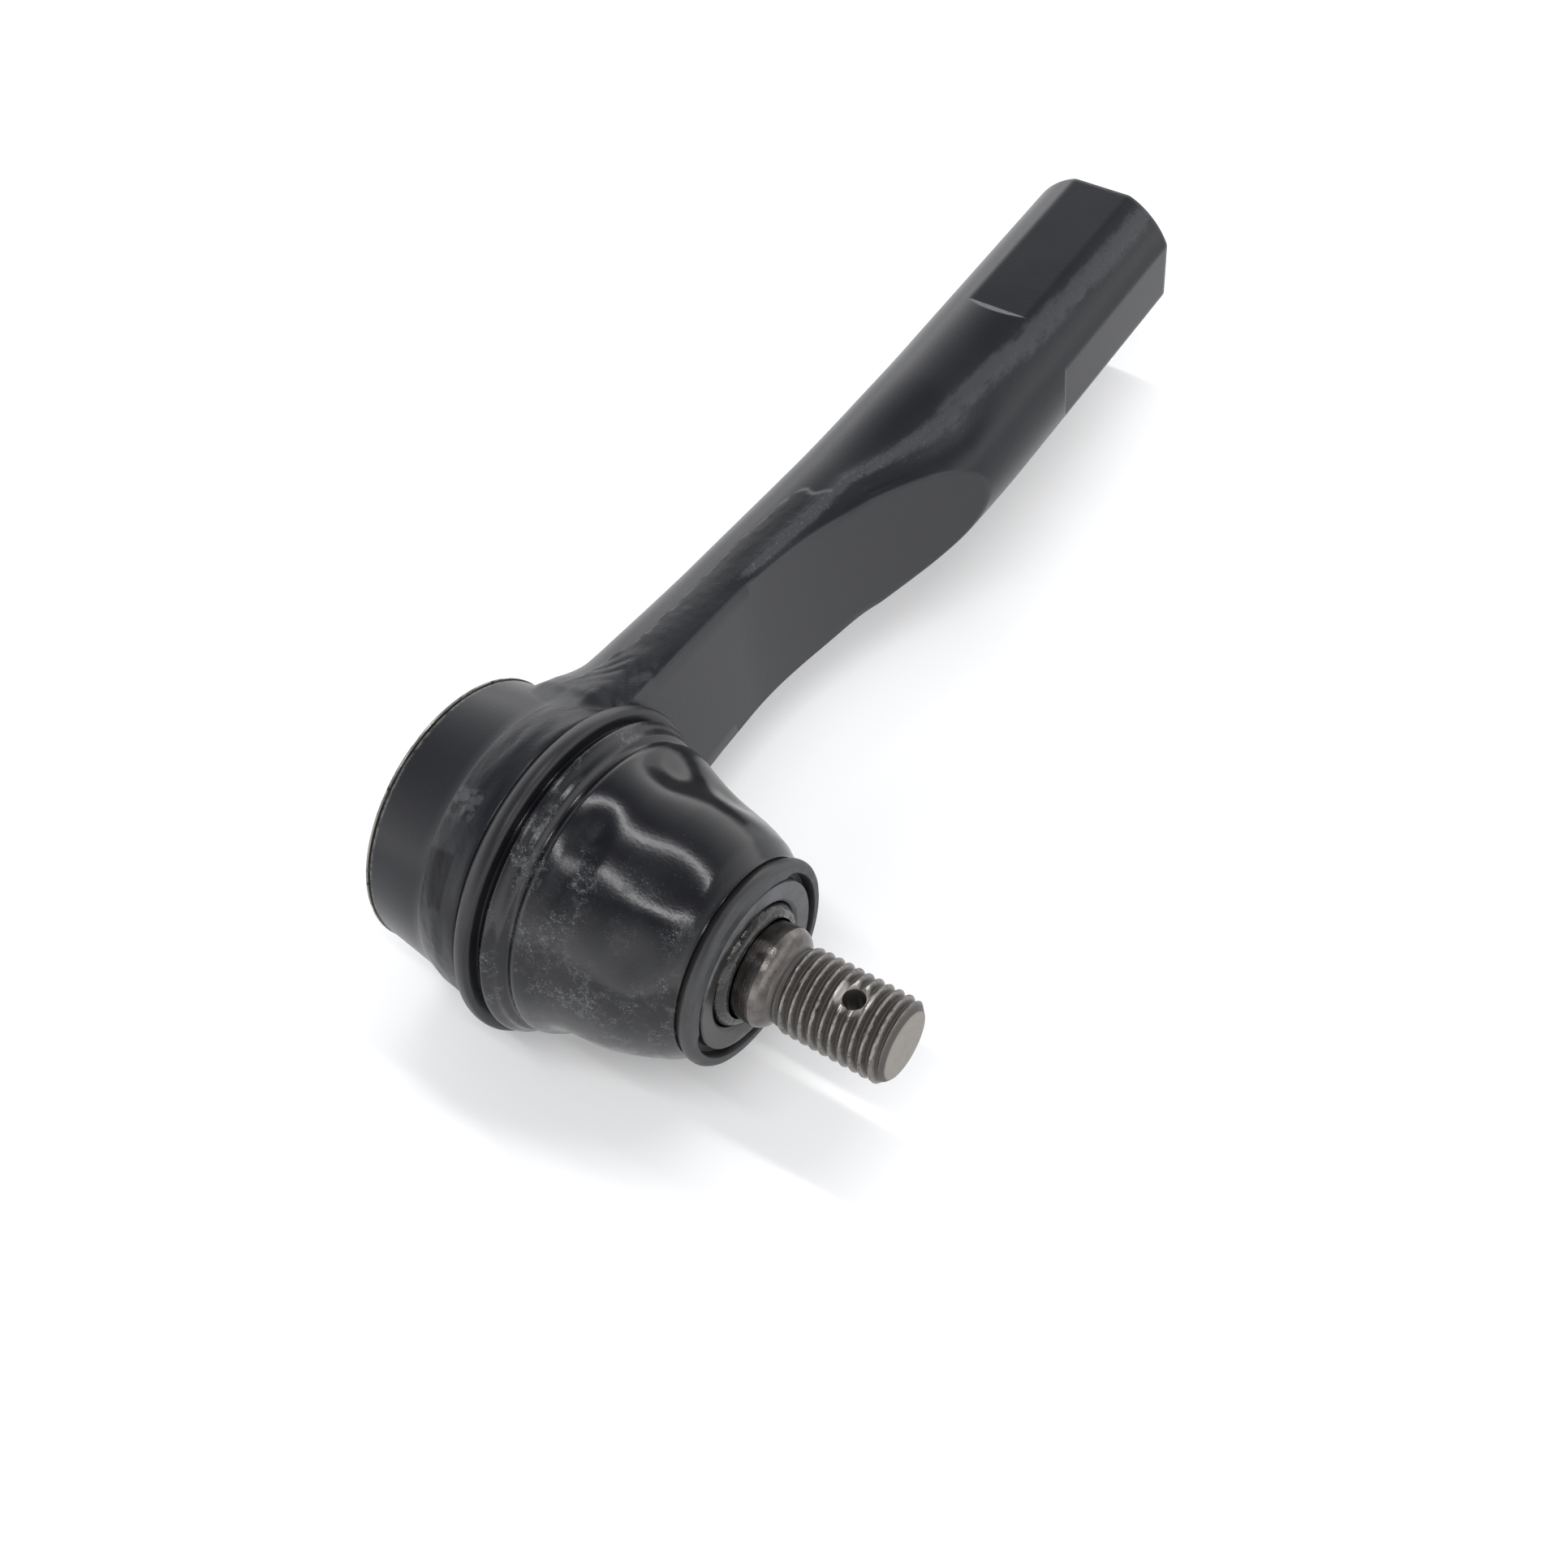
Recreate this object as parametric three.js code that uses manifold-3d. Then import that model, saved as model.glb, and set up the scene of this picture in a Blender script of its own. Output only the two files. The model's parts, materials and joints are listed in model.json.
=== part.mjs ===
// Outer tie rod end: a ball joint in a forged housing, with an arm that ends in a
// female-threaded shank. Millimetres, +Z up, lying on its side: the ball joint's axis
// runs along +X towards the stud, and the arm runs along +Y.
import * as THREE from 'three';
import { mergeVertices } from 'three/addons/utils/BufferGeometryUtils.js';
import Module from 'manifold-3d';

const wasm = await Module();
wasm.setup();

// Driving dimensions. X stations and radii are measured from the centre of the ball.
const ROUND = 40;                  // segments round the ball joint's axis
const GAP = 0.3;                   // clearance kept between pieces that touch

const BALL_RADIUS = 9;
const NECK_RADIUS = 4.5;
const TAPER_START = 16.5;
const TAPER_END = 31;
const TAPER_END_RADIUS = 5.9;
const TAPER_RATIO = 1 / 8;         // change of diameter per length
const THREAD_RADIUS = 5;           // M10 x 1.25
const THREAD_PITCH = 1.25;
const THREAD_START = 33;
const STUD_TIP = 47;
const STUD_TIP_RADIUS = 3.75;
const COTTER_STATION = 41;
const COTTER_RADIUS = 1.3;

const CAP_RIM = -13.5;             // outer end of the barrel, on the cap side
const RIM_RADIUS = 16.2;
const BAND_START = -4.5;           // forged band, left as it came from the dies
const BAND_END = 1.7;
const BAND_RADIUS = 18.4;
const BOOT_SEAT_RADIUS = 16.3;     // turned neck that carries the boot
const MOUTH = 8.2;
const MOUTH_RADIUS = 10.4;
const SOCKET_RADIUS = 12.3;
const CAP_LEDGE = -10.1;
const CAP_POCKET_RADIUS = 13.6;

const SHANK_RADIUS = 11.05;
const SHANK_OFFSET = 3;            // the shank's axis lies this far towards the stud
const SHANK_END = 122.5;
const FLAT_LENGTH = 29.25;
const ACROSS_FLATS = 20.5;
const ROOT_RADIUS = 13;            // the arm where it flows into the barrel
const WAIST = 0.8;                 // the arm's middle is this much slimmer above and below
const BORE_RADIUS = 5.35;          // tapping size of M12 x 1.25
const BORE_DEPTH = 40;
const LEAF_START = 35;             // leaf-shaped flat on the arm's stud side
const LEAF_END = 73.5;
const LEAF_LEVEL = 2;

const BASE_START = 2.3;            // big end of the boot
const BASE_END = 4.5;
const BASE_RADIUS = 20;
const BOOT_WALL = 1.5;
const FLANGE_FACE = 28.2;          // small end of the boot
const FLANGE_RADIUS = 12.1;
const FLANGE_RIM = 10.3;           // inner edge of the flange's raised rim

// Turns any closed geometry into a solid, with its faces pointing out.
function solid(geometry) {
  const bare = geometry.index ? geometry.toNonIndexed() : geometry.clone();
  bare.deleteAttribute('normal');
  bare.deleteAttribute('uv');
  const merged = mergeVertices(bare, 1e-5);
  const points = merged.attributes.position;
  const corners = Array.from(merged.index.array);
  const faces = [];
  let volume = 0;
  const [a, b, c] = [new THREE.Vector3(), new THREE.Vector3(), new THREE.Vector3()];
  for (let i = 0; i < corners.length; i += 3) {
    const [p, q, r] = corners.slice(i, i + 3);
    if (p === q || q === r || r === p) continue;
    a.fromBufferAttribute(points, p);
    b.fromBufferAttribute(points, q);
    c.fromBufferAttribute(points, r);
    volume += a.dot(b.cross(c)) / 6;
    faces.push([p, q, r]);
  }
  const turned = volume < 0 ? faces.map(([p, q, r]) => [p, r, q]) : faces;
  return new wasm.Manifold(new wasm.Mesh({
    numProp: 3,
    vertProperties: new Float32Array(points.array),
    triVerts: new Uint32Array(turned.flat()),
  }));
}

function geometryOf(body) {
  const mesh = body.getMesh();
  const geometry = new THREE.BufferGeometry();
  geometry.setAttribute('position', new THREE.BufferAttribute(mesh.vertProperties, 3));
  geometry.setIndex(new THREE.BufferAttribute(mesh.triVerts, 1));
  geometry.computeVertexNormals();
  return geometry;
}

// Revolves a closed outline of [station along X, radius] pairs about the X axis.
function revolve(outline, segments = ROUND) {
  const profile = [...outline, outline[0]].map(([x, r]) => new THREE.Vector2(r, x));
  const geometry = new THREE.LatheGeometry(profile, segments);
  geometry.rotateZ(-Math.PI / 2);
  return solid(geometry);
}

// Points of an arc of the given radius about the ball's centre, as [station, radius].
function ballArc(radius, fromStation, toStation, steps) {
  const start = Math.acos(fromStation / radius);
  const end = Math.acos(toStation / radius);
  return Array.from({ length: steps + 1 }, (_, i) => {
    const angle = start + (end - start) * i / steps;
    return [radius * Math.cos(angle), radius * Math.sin(angle)];
  });
}

function cylinder(radius, length, axis, x, y, z, segments = 32) {
  const geometry = new THREE.CylinderGeometry(radius, radius, length, segments);
  if (axis === 'z') geometry.rotateX(Math.PI / 2);
  geometry.translate(x, y, z);
  return solid(geometry);
}

// Skins a row of closed rings of the same number of points, and closes both ends.
function loft(rings) {
  const count = rings[0].length;
  const points = rings.flat();
  const index = [];
  for (let ring = 0; ring < rings.length - 1; ring += 1) {
    for (let i = 0; i < count; i += 1) {
      const a = ring * count + i;
      const b = ring * count + (i + 1) % count;
      index.push(a, b, a + count, b, b + count, a + count);
    }
  }
  const last = (rings.length - 1) * count;
  for (let i = 1; i < count - 1; i += 1) {
    index.push(0, i + 1, i);
    index.push(last, last + i, last + i + 1);
  }
  const geometry = new THREE.BufferGeometry();
  geometry.setAttribute('position', new THREE.Float32BufferAttribute(points.flat(), 3));
  geometry.setIndex(index);
  return solid(geometry);
}

const smooth = (value, low, high) => THREE.MathUtils.smoothstep(value, low, high);

// The arm: round sections, slightly flattened in the waist, whose centre moves over from the
// ball's plane to the shank's axis. The leaf-shaped flat cuts them on the stud side.
function armSection(y, radius, segments = 40) {
  const waist = WAIST * smooth(y, 24, 40) * (1 - smooth(y, 60, 78));
  const centre = SHANK_OFFSET * smooth(y, 20, 85);
  const run = THREE.MathUtils.clamp((y - LEAF_START) / (LEAF_END - LEAF_START), 0, 1);
  const crest = SHANK_OFFSET + SHANK_RADIUS;
  const level = y < LEAF_END ? LEAF_LEVEL + (crest - LEAF_LEVEL) * run ** 1.6 : crest + 1;
  return Array.from({ length: segments }, (_, i) => {
    const angle = 2 * Math.PI * i / segments;
    const x = Math.min(centre + radius * Math.cos(angle), level);
    return [x, y, (radius - waist) * Math.sin(angle)];
  });
}

function makeArm() {
  const chamfer = 1;
  const stations = [8, 15, 18, 22, 27, 33, 40, 46, 52, 58, 64, 68, 71, LEAF_END, 78, 85];
  const rings = stations.map((y) => {
    const flow = Math.exp(-Math.max(y - 15, 0) / 7);
    const radius = THREE.MathUtils.lerp(SHANK_RADIUS, ROOT_RADIUS, flow);
    return armSection(y, radius);
  });
  rings.push(armSection(SHANK_END - chamfer, SHANK_RADIUS));
  rings.push(armSection(SHANK_END, SHANK_RADIUS - chamfer));
  return loft(rings);
}

// Four wrench flats: the slabs that the milling takes off the shank.
function flatCuts() {
  const slab = 6;
  const length = FLAT_LENGTH + 5;
  const y = SHANK_END - FLAT_LENGTH + length / 2;
  const reach = ACROSS_FLATS / 2 + slab / 2;
  const width = 4 * SHANK_RADIUS;
  return [[1, 0], [-1, 0], [0, 1], [0, -1]].map(([x, z]) => {
    const block = new THREE.BoxGeometry(x ? slab : width, length, z ? slab : width);
    block.translate(SHANK_OFFSET + x * reach, y, z * reach);
    return solid(block);
  });
}

function makeHousing() {
  const barrel = revolve([
    [CAP_RIM, 0], [CAP_RIM, RIM_RADIUS - 1], [CAP_RIM + 0.5, RIM_RADIUS - 0.2],
    [CAP_RIM + 1.6, RIM_RADIUS], [BAND_START - 0.4, 17.1], [BAND_START, BAND_RADIUS - 0.5],
    [BAND_START + 2, BAND_RADIUS], [BAND_END - 0.5, BAND_RADIUS],
    [BAND_END, BAND_RADIUS - 0.6], [BAND_END, BOOT_SEAT_RADIUS],
    [MOUTH - 1.4, BOOT_SEAT_RADIUS], [MOUTH, BOOT_SEAT_RADIUS - 1.4], [MOUTH, 0],
  ]);
  const socket = revolve([
    [CAP_RIM - 1, 0], [CAP_RIM - 1, 12.6], [CAP_RIM + 0.6, 12.6],
    [CAP_RIM + 0.6, CAP_POCKET_RADIUS], [CAP_LEDGE, CAP_POCKET_RADIUS],
    [CAP_LEDGE, SOCKET_RADIUS], [2.2, SOCKET_RADIUS], [6, 9], [MOUTH, MOUTH_RADIUS],
    [MOUTH + 1, MOUTH_RADIUS + 0.6], [MOUTH + 1, 0],
  ]);
  const floor = SHANK_END - BORE_DEPTH;
  const bore = cylinder(BORE_RADIUS, BORE_DEPTH + 1, 'y',
    SHANK_OFFSET, floor + (BORE_DEPTH + 1) / 2, 0);
  const countersink = new THREE.CylinderGeometry(BORE_RADIUS + 1.2, BORE_RADIUS - 0.1, 1.3, 32);
  countersink.translate(SHANK_OFFSET, SHANK_END - 0.6, 0);
  let body = barrel.add(makeArm());
  for (const cut of flatCuts()) body = body.subtract(cut);
  return body.subtract(socket).subtract(bore).subtract(solid(countersink));
}

// The stud's outline, with the thread as a row of V-shaped crests and roots.
function makeStud() {
  const taper = (x) => TAPER_END_RADIUS + (TAPER_END - x) * TAPER_RATIO / 2;
  const root = THREAD_RADIUS - 0.61 * THREAD_PITCH;
  const outline = [[-BALL_RADIUS, 0], ...ballArc(BALL_RADIUS, -BALL_RADIUS, 7.7, 14).slice(1)];
  outline.push([9, NECK_RADIUS], [12, NECK_RADIUS], [TAPER_START - 0.8, taper(TAPER_START) - 0.6]);
  outline.push([TAPER_START, taper(TAPER_START)], [TAPER_END, TAPER_END_RADIUS]);
  outline.push([TAPER_END + 0.9, TAPER_END_RADIUS - 0.5], [THREAD_START - 0.5, root]);
  const turns = Math.floor((STUD_TIP - 0.9 - THREAD_START) / THREAD_PITCH);
  for (let turn = 0; turn < turns; turn += 1) {
    const x = THREAD_START + turn * THREAD_PITCH;
    outline.push([x, root], [x + THREAD_PITCH / 2, THREAD_RADIUS]);
  }
  const end = THREAD_START + turns * THREAD_PITCH;
  outline.push([end, root], [end + 0.4, THREAD_RADIUS - 0.3]);
  outline.push([STUD_TIP, STUD_TIP_RADIUS], [STUD_TIP, 0]);
  const hole = cylinder(COTTER_RADIUS, 4 * THREAD_RADIUS, 'z', COTTER_STATION, 0, 0, 20);
  return revolve(outline, 32).subtract(hole);
}

const SEAT_RADIUS = BALL_RADIUS + GAP;
const SEAT_SPLIT = -2;

function makeStudSideSeat() {
  return revolve([
    ...ballArc(SEAT_RADIUS, 4.2, SEAT_SPLIT, 6),
    [SEAT_SPLIT, SOCKET_RADIUS - GAP], [2, SOCKET_RADIUS - GAP], [4.2, 10.1],
  ]);
}

function makeCapSideSeat() {
  const top = SEAT_SPLIT - GAP;
  const bottom = -8.6;
  return revolve([
    ...ballArc(SEAT_RADIUS, top, bottom, 8), [bottom, SOCKET_RADIUS - GAP],
    [top, SOCKET_RADIUS - GAP],
  ]);
}

function makePreloadSpring() {
  return revolve([[-10.05, 11.7], [-9.55, 11.7], [-8.95, 5.2], [-9.45, 5.2]]);
}

function makeEndCap() {
  return revolve([
    [-12.6, 0], [-12.6, 4], [-12, 6.5], [-12, 10.4], [-12.6, 11.4], [-12.6, 13.3],
    [-10.4, 13.3], [-10.4, 0],
  ]);
}

function makeBaseRing() {
  return revolve([
    [BASE_START, 16.7], [BASE_START, BASE_RADIUS - 0.6], [BASE_START + 0.5, BASE_RADIUS],
    [BASE_END - 0.6, BASE_RADIUS], [BASE_END, BASE_RADIUS - 0.8], [BASE_END, 16.7],
  ]);
}

function makeBoot() {
  const outer = [
    [4.8, 19], [5.2, 19.2], [8.2, 18], [8.8, 17.4], [11, 16.9], [14, 16.2], [18, 15.2],
    [22, 14], [25.5, 12.8],
  ];
  const inner = outer.slice(1).reverse().map(([x, r]) => [x, r - BOOT_WALL]);
  return revolve([...outer, ...inner, [6, 16.7], [4.8, 16.7]]);
}

function makeNeckFlange() {
  return revolve([
    [21.5, 6.9], [21.5, 8.8], [25.8, 8.8], [25.8, 11.6], [26.4, FLANGE_RADIUS],
    [FLANGE_FACE - 0.3, FLANGE_RADIUS], [FLANGE_FACE, FLANGE_RADIUS - 0.3],
    [FLANGE_FACE, FLANGE_RIM], [26.8, FLANGE_RIM - 0.2], [26.8, 6.6],
  ]);
}

function makeNeckInsert() {
  return revolve([[27.1, 7.4], [27.1, 9.7], [27.7, 9.5], [27.7, 7.4]]);
}

function makeNeckClip() {
  const centre = [23.4, 9.85];
  const radius = 0.7;
  return revolve(Array.from({ length: 8 }, (_, i) => {
    const angle = 2 * Math.PI * i / 8;
    return [centre[0] + radius * Math.cos(angle), centre[1] + radius * Math.sin(angle)];
  }));
}

const paint = { color: 0x17171a, roughness: 0.42, metalness: 0.3 };
const steel = { color: 0x6e6a66, roughness: 0.3, metalness: 0.9 };
const rubber = { color: 0x0c0c0d, roughness: 0.35, metalness: 0 };
const acetal = { color: 0xe6e2d6, roughness: 0.5, metalness: 0 };
const insert = { color: 0x77777c, roughness: 0.5, metalness: 0.2 };

const pieces = [
  ['housing', makeHousing, paint],
  ['end_cap', makeEndCap, paint],
  ['preload_spring', makePreloadSpring, steel],
  ['ball_seat_cap_side', makeCapSideSeat, acetal],
  ['ball_seat_stud_side', makeStudSideSeat, acetal],
  ['ball_stud', makeStud, steel],
  ['boot_base_ring', makeBaseRing, rubber],
  ['dust_boot', makeBoot, rubber],
  ['boot_neck_flange', makeNeckFlange, rubber],
  ['boot_neck_insert', makeNeckInsert, insert],
  ['boot_neck_clip', makeNeckClip, steel],
];

const group = new THREE.Group();
for (const [name, make, finish] of pieces) {
  const mesh = new THREE.Mesh(geometryOf(make()), new THREE.MeshStandardMaterial(finish));
  mesh.name = name;
  group.add(mesh);
}

// The origin is under the middle of the whole, on the surface that it lies on.
group.position.set(
  -(CAP_RIM + STUD_TIP) / 2,
  -(SHANK_END - BASE_RADIUS) / 2,
  BASE_RADIUS,
);

export default group;
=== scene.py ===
import json
import math

import bpy
import numpy as np
from mathutils import Matrix, Vector


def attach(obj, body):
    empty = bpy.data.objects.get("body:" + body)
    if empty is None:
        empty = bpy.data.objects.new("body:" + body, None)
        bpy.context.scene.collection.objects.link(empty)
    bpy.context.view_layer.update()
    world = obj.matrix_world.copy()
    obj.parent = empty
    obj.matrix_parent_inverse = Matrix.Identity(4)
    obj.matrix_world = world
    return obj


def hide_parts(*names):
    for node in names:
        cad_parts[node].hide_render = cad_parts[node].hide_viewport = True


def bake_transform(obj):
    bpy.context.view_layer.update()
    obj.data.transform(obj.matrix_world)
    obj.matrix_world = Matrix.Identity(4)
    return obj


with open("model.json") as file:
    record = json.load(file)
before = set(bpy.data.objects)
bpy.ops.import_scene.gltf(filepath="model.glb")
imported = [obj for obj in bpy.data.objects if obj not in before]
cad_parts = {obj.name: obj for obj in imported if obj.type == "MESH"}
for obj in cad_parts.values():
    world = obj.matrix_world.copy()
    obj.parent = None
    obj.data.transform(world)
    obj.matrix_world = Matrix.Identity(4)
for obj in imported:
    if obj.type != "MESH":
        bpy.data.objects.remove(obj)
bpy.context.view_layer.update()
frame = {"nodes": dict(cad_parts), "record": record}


# ------------------------------------------------------------------ the housing: the barrel
# The barrel is the round end of one steel forging. Its cap side and the boot's seat are turned,
# and the band between them is left as it came from the dies. All of it is painted satin black.
MM = 0.001
BALL = np.array(frame["record"]["behaviour"]["joints"][0]["pos_m"])

# Sizes are in millimetres. A station is a distance from the ball's centre along the stud's axis, X.
BAND_START, BAND_END = -4.4, 1.7
TURNED_EDGE = -12.7                   # where the turned side meets the rolled rim's groove
SEAT_RADIUS = 14.9                    # of the boot's seat: what is wider is the outside
BARREL_COLUMNS = 320
BARREL_OUTLINE = [            # station, radius, rounding; the cap side first, then the boot's side
    (-13.5, 12.7, 0.25), (-13.5, 16.0, 0.35), (-13.15, 16.5, 0.12), (-12.94, 16.45, 0.05),
    (-12.88, 16.05, 0.03), (-12.8, 16.05, 0.03), (TURNED_EDGE, 16.35, 0.06),
    (BAND_START - 0.6, 17.35, 0.9), (BAND_START + 1.2, 17.95, 0.9), (-1.6, 18.3, 1.0),
    (1.3, 18.55, 0.3), (BAND_END, 18, 0.2),
    (BAND_END, 16.3, 0.1), (6.8, 16.3, 0.5), (8.2, SEAT_RADIUS, 0.4), (8.2, 10.6, 0.3),
    (6, 9.05, 0.3),
    (2.2, 12.3, 0.4), (-10.1, 12.3, 0.1), (-10.1, 13.6, 0.1), (-12.9, 13.6, 0.1),
    (-12.9, 12.7, 0.1),
]


def eased(value, low, high):
    """0 below low, 1 above high, and 3u^2 - 2u^3 of the way u between them."""
    u = np.clip((np.asarray(value, float) - low) / (high - low), 0, 1)
    return u * u * (3 - 2 * u)


def ripple(seed, waves, *fields):
    """Smooth noise between about -1 and 1: the mean of sine waves over the given fields, whose
    directions and phases come from the seed, and whose lengths lie near the given wave numbers."""
    rng = np.random.default_rng(seed)
    total = 0
    for wave in waves:
        for _ in range(4):
            pull = rng.normal(size=len(fields))
            pull *= wave / np.linalg.norm(pull)
            phase = rng.uniform(0, 2 * np.pi)
            total = total + np.sin(sum(p * f for p, f in zip(pull, fields)) + phase)
    return total / (2.2 * math.sqrt(len(waves)))


def rounded(corners, step=0.45, arc=6):
    """The outline through (station, radius, rounding) corners. Each corner is a parabola that
    starts and ends the rounding away from it, and the straights are cut into steps."""
    corners = np.array(corners, float)
    points = []
    for before, here, after in zip(np.roll(corners, 1, 0), corners, np.roll(corners, -1, 0)):
        back, ahead = before[:2] - here[:2], after[:2] - here[:2]
        reach = min(here[2], 0.45 * np.linalg.norm(back), 0.45 * np.linalg.norm(ahead))
        enter = here[:2] + back / np.linalg.norm(back) * reach
        leave = here[:2] + ahead / np.linalg.norm(ahead) * reach
        u = np.linspace(0, 1, arc if reach > 0 else 1)[:, None]
        curve = (1 - u) ** 2 * enter + 2 * u * (1 - u) * here[:2] + u ** 2 * leave
        if points:
            run = curve[0] - points[-1][-1]
            cuts = int(np.linalg.norm(run) / step)
            points.append(points[-1][-1] + run * (np.arange(1, cuts + 1) / (cuts + 1))[:, None])
        points.append(curve)
    return np.concatenate([p for p in points if len(p)])


def turned(outline, columns, push=None):
    """Grid of a surface of revolution about the X axis: rows follow the outline, columns go round.
    push gives each point's extra radius from its station, radius and angle."""
    angle = np.linspace(0, 2 * np.pi, columns, endpoint=False)
    x = np.repeat(outline[:, :1], columns, axis=1)
    r = np.repeat(outline[:, 1:2], columns, axis=1)
    angle = np.broadcast_to(angle, r.shape)
    if push is not None:
        r = r + push(x, r, angle)
    return np.stack([x, r * np.cos(angle), r * np.sin(angle)], axis=-1)


def skinned(name, grid, ring=False, crease=35):
    """A closed object through a grid (row, column, xyz) of millimetres from the ball's centre. The
    columns join up. With ring, the last row meets the first. Otherwise the first and the last row
    shrink to poles at their middles. Edges sharper than crease degrees stay sharp."""
    rows, columns, _ = grid.shape
    if ring:
        points = grid.reshape(-1, 3)
        lower = np.arange(rows * columns).reshape(rows, columns)
        upper = np.roll(lower, -1, axis=0)
    else:
        points = np.vstack([grid[1:-1].reshape(-1, 3), grid[0].mean(0), grid[-1].mean(0)])
        body = np.arange((rows - 2) * columns).reshape(rows - 2, columns)
        lower, upper = body[:-1], body[1:]
    quads = np.stack([lower, np.roll(lower, -1, 1), np.roll(upper, -1, 1), upper], -1)
    loops, sizes = [quads.reshape(-1)], [np.full(quads.size // 4, 4)]
    if not ring:
        for edge, pole in ((body[0][::-1], len(points) - 2), (body[-1], len(points) - 1)):
            fan = np.stack([edge, np.roll(edge, -1), np.full(columns, pole)], -1)
            loops.append(fan.reshape(-1))
            sizes.append(np.full(columns, 3))
    corners = np.concatenate(loops)
    sides = quads.reshape(-1, 4)
    threes = [sides[:, :3], sides[:, [0, 2, 3]], *(fan.reshape(-1, 3) for fan in loops[1:])]
    a, b, c = np.moveaxis((points - points.mean(0))[np.concatenate(threes)], 1, 0)
    volume = (np.cross(b - a, c - a) * a).sum()
    starts = np.concatenate([[0], np.cumsum(np.concatenate(sizes))[:-1]])
    if volume < 0:
        ends = np.concatenate([starts[1:], [len(corners)]])
        turn = np.repeat(starts + ends - 1, ends - starts) - np.arange(len(corners))
        corners = corners[turn]
    mesh = bpy.data.meshes.new(name)
    mesh.vertices.add(len(points))
    mesh.vertices.foreach_set("co", (BALL + points * MM).astype(np.float32).reshape(-1))
    mesh.loops.add(len(corners))
    mesh.loops.foreach_set("vertex_index", corners.astype(np.int32))
    mesh.polygons.add(len(starts))
    mesh.polygons.foreach_set("loop_start", starts.astype(np.int32))
    mesh.update(calc_edges=True)
    mesh.validate()
    mesh.shade_smooth()
    mesh.set_sharp_from_angle(angle=math.radians(crease))
    piece = bpy.data.objects.new(name, mesh)
    bpy.context.scene.collection.objects.link(piece)
    return piece


def barrel_push(x, r, angle):
    """Forging skin: shallow waves on the raw band, and small chips in the rolled rim's edge."""
    outside = r > SEAT_RADIUS
    raw = outside * eased(x, BAND_START, BAND_START + 0.8) * (1 - eased(x, 0.9, 1.5))
    waves = 0.05 * ripple(3, (7, 13), angle, x * 0.25) + 0.012 * ripple(4, (30, 50), angle, x)
    rim = outside * (1 - eased(x, -13.2, -12.95))
    chips = -0.05 * eased(ripple(5, (14, 33), angle), 0.55, 0.8)
    return raw * waves + rim * chips


class Pattern:
    """One output of a material's nodes. Arithmetic on it adds Math nodes, and node() adds any
    other node: its settings are set first, then its sockets get their values or links."""

    def __init__(self, tree, socket=None):
        self.tree, self.socket = tree, socket

    def node(self, kind, inputs, settings=None, output=0):
        made = self.tree.nodes.new("ShaderNode" + kind)
        for key, value in (settings or {}).items():
            setattr(made, key, value)
        for key, value in inputs.items():
            if isinstance(value, Pattern):
                self.tree.links.new(value.socket, made.inputs[key])
            else:
                made.inputs[key].default_value = value
        return Pattern(self.tree, made.outputs[output])

    def math(self, operation, first, second):
        return self.node("Math", {0: first, 1: second}, {"operation": operation})

    def __add__(self, other):
        return self.math("ADD", self, other)

    def __sub__(self, other):
        return self.math("SUBTRACT", self, other)

    def __rsub__(self, other):
        return self.math("SUBTRACT", other, self)

    def __mul__(self, other):
        return self.math("MULTIPLY", self, other)

    __radd__ = __add__
    __rmul__ = __mul__

    def power(self, exponent):
        return self.math("POWER", self, exponent)

    def larger(self, other):
        """The larger of the two at each point, which lays one mask over another."""
        return self.math("MAXIMUM", self, other)

    def size(self):
        return self.math("ABSOLUTE", self, 0)

    def step(self, low, high):
        """0 below low, 1 above high, and smooth between. A high under low turns it round."""
        inputs = {"Value": self, "From Min": low, "From Max": high}
        return self.node("MapRange", inputs, {"interpolation_type": "SMOOTHSTEP"})

    def noise(self, per_mm, detail=2.0, roughness=0.5, stretch=None):
        where = self
        if stretch:
            where = self.node("VectorMath", {0: self, 1: stretch}, {"operation": "MULTIPLY"})
        inputs = {"Vector": where, "Scale": per_mm, "Detail": detail, "Roughness": roughness}
        return self.node("TexNoise", inputs)

    def grains(self, per_mm):
        """Distance from the nearest of many scattered points."""
        return self.node("TexVoronoi", {"Vector": self, "Scale": per_mm})

    def split(self):
        return [self.node("SeparateXYZ", {0: self}, output=i) for i in range(3)]

    def tinted(self, low, high):
        """The first colour where this is 0, the second where it is 1."""
        settings = {"data_type": "RGBA"}
        paint = [c if isinstance(c, Pattern) else (*c, 1) for c in (low, high)]
        return self.node("Mix", {0: self, 6: paint[0], 7: paint[1]}, settings, output=2)

    def relief(self, depth_mm, normal=None):
        """Bump whose full height is depth_mm, on top of another bump."""
        inputs = {"Height": self, "Distance": depth_mm * MM}
        if normal:
            inputs["Normal"] = normal
        return self.node("Bump", inputs)


def new_finish(name, **constants):
    """A material, a function that links patterns to its shader, and the place of each point in
    millimetres from the ball's centre."""
    material = bpy.data.materials.new(name)
    material.use_nodes = True
    tree = material.node_tree
    shader = tree.nodes["Principled BSDF"]
    for key, value in constants.items():
        shader.inputs[key.replace("_", " ")].default_value = value
    start = Pattern(tree)
    local = start.node("TexCoord", {}, output=3)
    inputs = {0: local, 1: (1000, 1000, 1000), 2: tuple(-BALL / MM)}
    place = start.node("VectorMath", inputs, {"operation": "MULTIPLY_ADD"})

    def feed(**patterns):
        for key, pattern in patterns.items():
            tree.links.new(pattern.socket, shader.inputs[key.replace("_", " ")])

    return material, feed, place


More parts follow.
